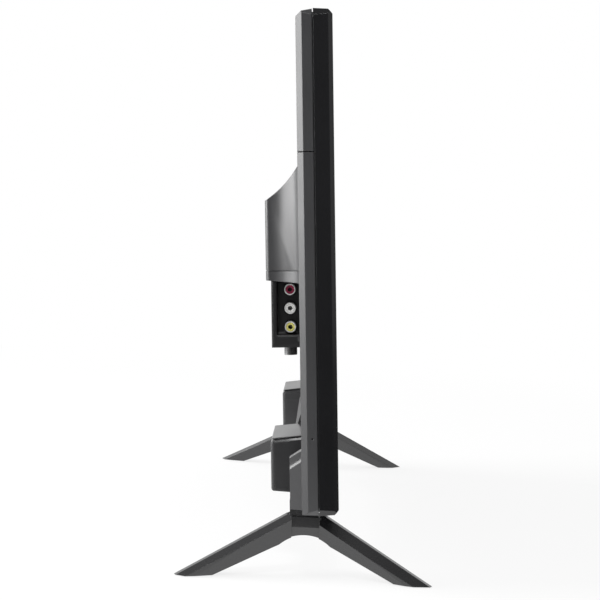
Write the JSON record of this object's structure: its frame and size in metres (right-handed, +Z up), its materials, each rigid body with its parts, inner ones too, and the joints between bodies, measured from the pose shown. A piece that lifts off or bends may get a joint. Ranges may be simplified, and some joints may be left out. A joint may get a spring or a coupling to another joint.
{
  "type": "flat screen television",
  "caption": "Flat screen television with a glossy bezel, a flared charcoal back with a side-facing jack bay and speaker boxes, standing on two splayed V feet.",
  "frame": {"origin": "on the floor, midway between the feet and midway between their tips", "axes": "+X is the way the screen faces, +Y runs across the width to the viewer's right, +Z is up; the panel leans back by 3.5 degrees"},
  "size_m": [0.1702, 0.553, 0.373],
  "materials": {
    "bezel_black": "polished",
    "screen_glass": "anti-glare",
    "frame_plastic": "moulded",
    "film_white": "satin sheet",
    "guide_acrylic": "clear, dotted",
    "led_white": "matt",
    "tray_steel": "zinc plated",
    "cover_charcoal": "fine spark texture",
    "bracket_black": "fine texture",
    "jack_plated": "nickel plated",
    "jack_red": "moulded",
    "jack_white": "moulded",
    "jack_yellow": "moulded",
    "socket_black": "moulded",
    "board_green": "solder mask",
    "board_tan": "paper laminate",
    "sink_aluminium": "extruded",
    "transformer_yellow": "taped",
    "capacitor_blue": "sleeved",
    "ribbon_white": "flat cable",
    "speaker_frame": "pressed",
    "speaker_cone": "paper pulp",
    "speaker_magnet": "plated",
    "sensor_red": "tinted",
    "key_charcoal": "moulded",
    "foot_black": "semi-gloss",
    "sole_rubber": "matt",
    "screw_black": "black oxide",
    "screw_zinc": "zinc plated",
    "insert_brass": "knurled"
  },
  "bodies": {
    "set": {"front_bezel": "bezel_black", "lcd_cell": "screen_glass", "cell_frame": "frame_plastic", "optical_films": "film_white", "reflector_sheet": "film_white", "light_guide": "guide_acrylic", "led_bar": "led_white", "led_chips": "led_white", "backlight_tray": "tray_steel", "upper_rear_cover": "cover_charcoal", "lower_rear_cover": "cover_charcoal", "connector_bracket": "bracket_black", "rca_shells": "jack_plated", "antenna_connector": "jack_plated", "hdmi_socket": "jack_plated", "usb_socket": "jack_plated", "rca_insert_red": "jack_red", "rca_insert_white": "jack_white", "rca_insert_yellow": "jack_yellow", "headphone_jack": "socket_black", "power_inlet": "socket_black", "main_chips": "socket_black", "key_switches": "socket_black", "main_board": "board_green", "driver_board": "board_green", "sensor_board": "board_green", "key_board": "board_green", "power_board": "board_tan", "heat_sink": "sink_aluminium", "power_transformer": "transformer_yellow", "power_capacitors": "capacitor_blue", "panel_ribbon": "ribbon_white", "speaker_left_frame": "speaker_frame", "speaker_right_frame": "speaker_frame", "speaker_left_magnet": "speaker_magnet", "speaker_right_magnet": "speaker_magnet", "sensor_window": "sensor_red", "foot_left": "foot_black", "foot_right": "foot_black", "foot_pads": "sole_rubber", "foot_screws": "screw_black", "cover_screws": "screw_black", "board_screws": "screw_zinc", "wall_mount_inserts": "insert_brass"},
    "power_key": {"key_power": "key_charcoal"},
    "input_key": {"key_input": "key_charcoal"},
    "menu_key": {"key_menu": "key_charcoal"},
    "channel_up_key": {"key_channel_up": "key_charcoal"},
    "channel_down_key": {"key_channel_down": "key_charcoal"},
    "volume_up_key": {"key_volume_up": "key_charcoal"},
    "volume_down_key": {"key_volume_down": "key_charcoal"},
    "left_cone": {"speaker_left_cone": "speaker_cone"},
    "right_cone": {"speaker_right_cone": "speaker_cone"}
  },
  "joints": [
    {"name": "power_key_press", "type": "slide", "parent": "set", "child": "power_key", "axis": [0.9981, 0, 0.061], "range_m": [0, 0.0008], "stiffness_N_per_m": 500},
    {"name": "input_key_press", "type": "slide", "parent": "set", "child": "input_key", "axis": [0.9981, 0, 0.061], "range_m": [0, 0.0008], "stiffness_N_per_m": 500},
    {"name": "menu_key_press", "type": "slide", "parent": "set", "child": "menu_key", "axis": [0.9981, 0, 0.061], "range_m": [0, 0.0008], "stiffness_N_per_m": 500},
    {"name": "channel_up_key_press", "type": "slide", "parent": "set", "child": "channel_up_key", "axis": [0.9981, 0, 0.061], "range_m": [0, 0.0008], "stiffness_N_per_m": 500},
    {"name": "channel_down_key_press", "type": "slide", "parent": "set", "child": "channel_down_key", "axis": [0.9981, 0, 0.061], "range_m": [0, 0.0008], "stiffness_N_per_m": 500},
    {"name": "volume_up_key_press", "type": "slide", "parent": "set", "child": "volume_up_key", "axis": [0.9981, 0, 0.061], "range_m": [0, 0.0008], "stiffness_N_per_m": 500},
    {"name": "volume_down_key_press", "type": "slide", "parent": "set", "child": "volume_down_key", "axis": [0.9981, 0, 0.061], "range_m": [0, 0.0008], "stiffness_N_per_m": 500},
    {"name": "left_cone_stroke", "type": "slide", "parent": "set", "child": "left_cone", "axis": [-0.061, 0, 0.9981], "range_m": [-0.0005, 0.0005], "stiffness_N_per_m": 1500},
    {"name": "right_cone_stroke", "type": "slide", "parent": "set", "child": "right_cone", "axis": [-0.061, 0, 0.9981], "range_m": [-0.0005, 0.0005], "stiffness_N_per_m": 1500}
  ]
}
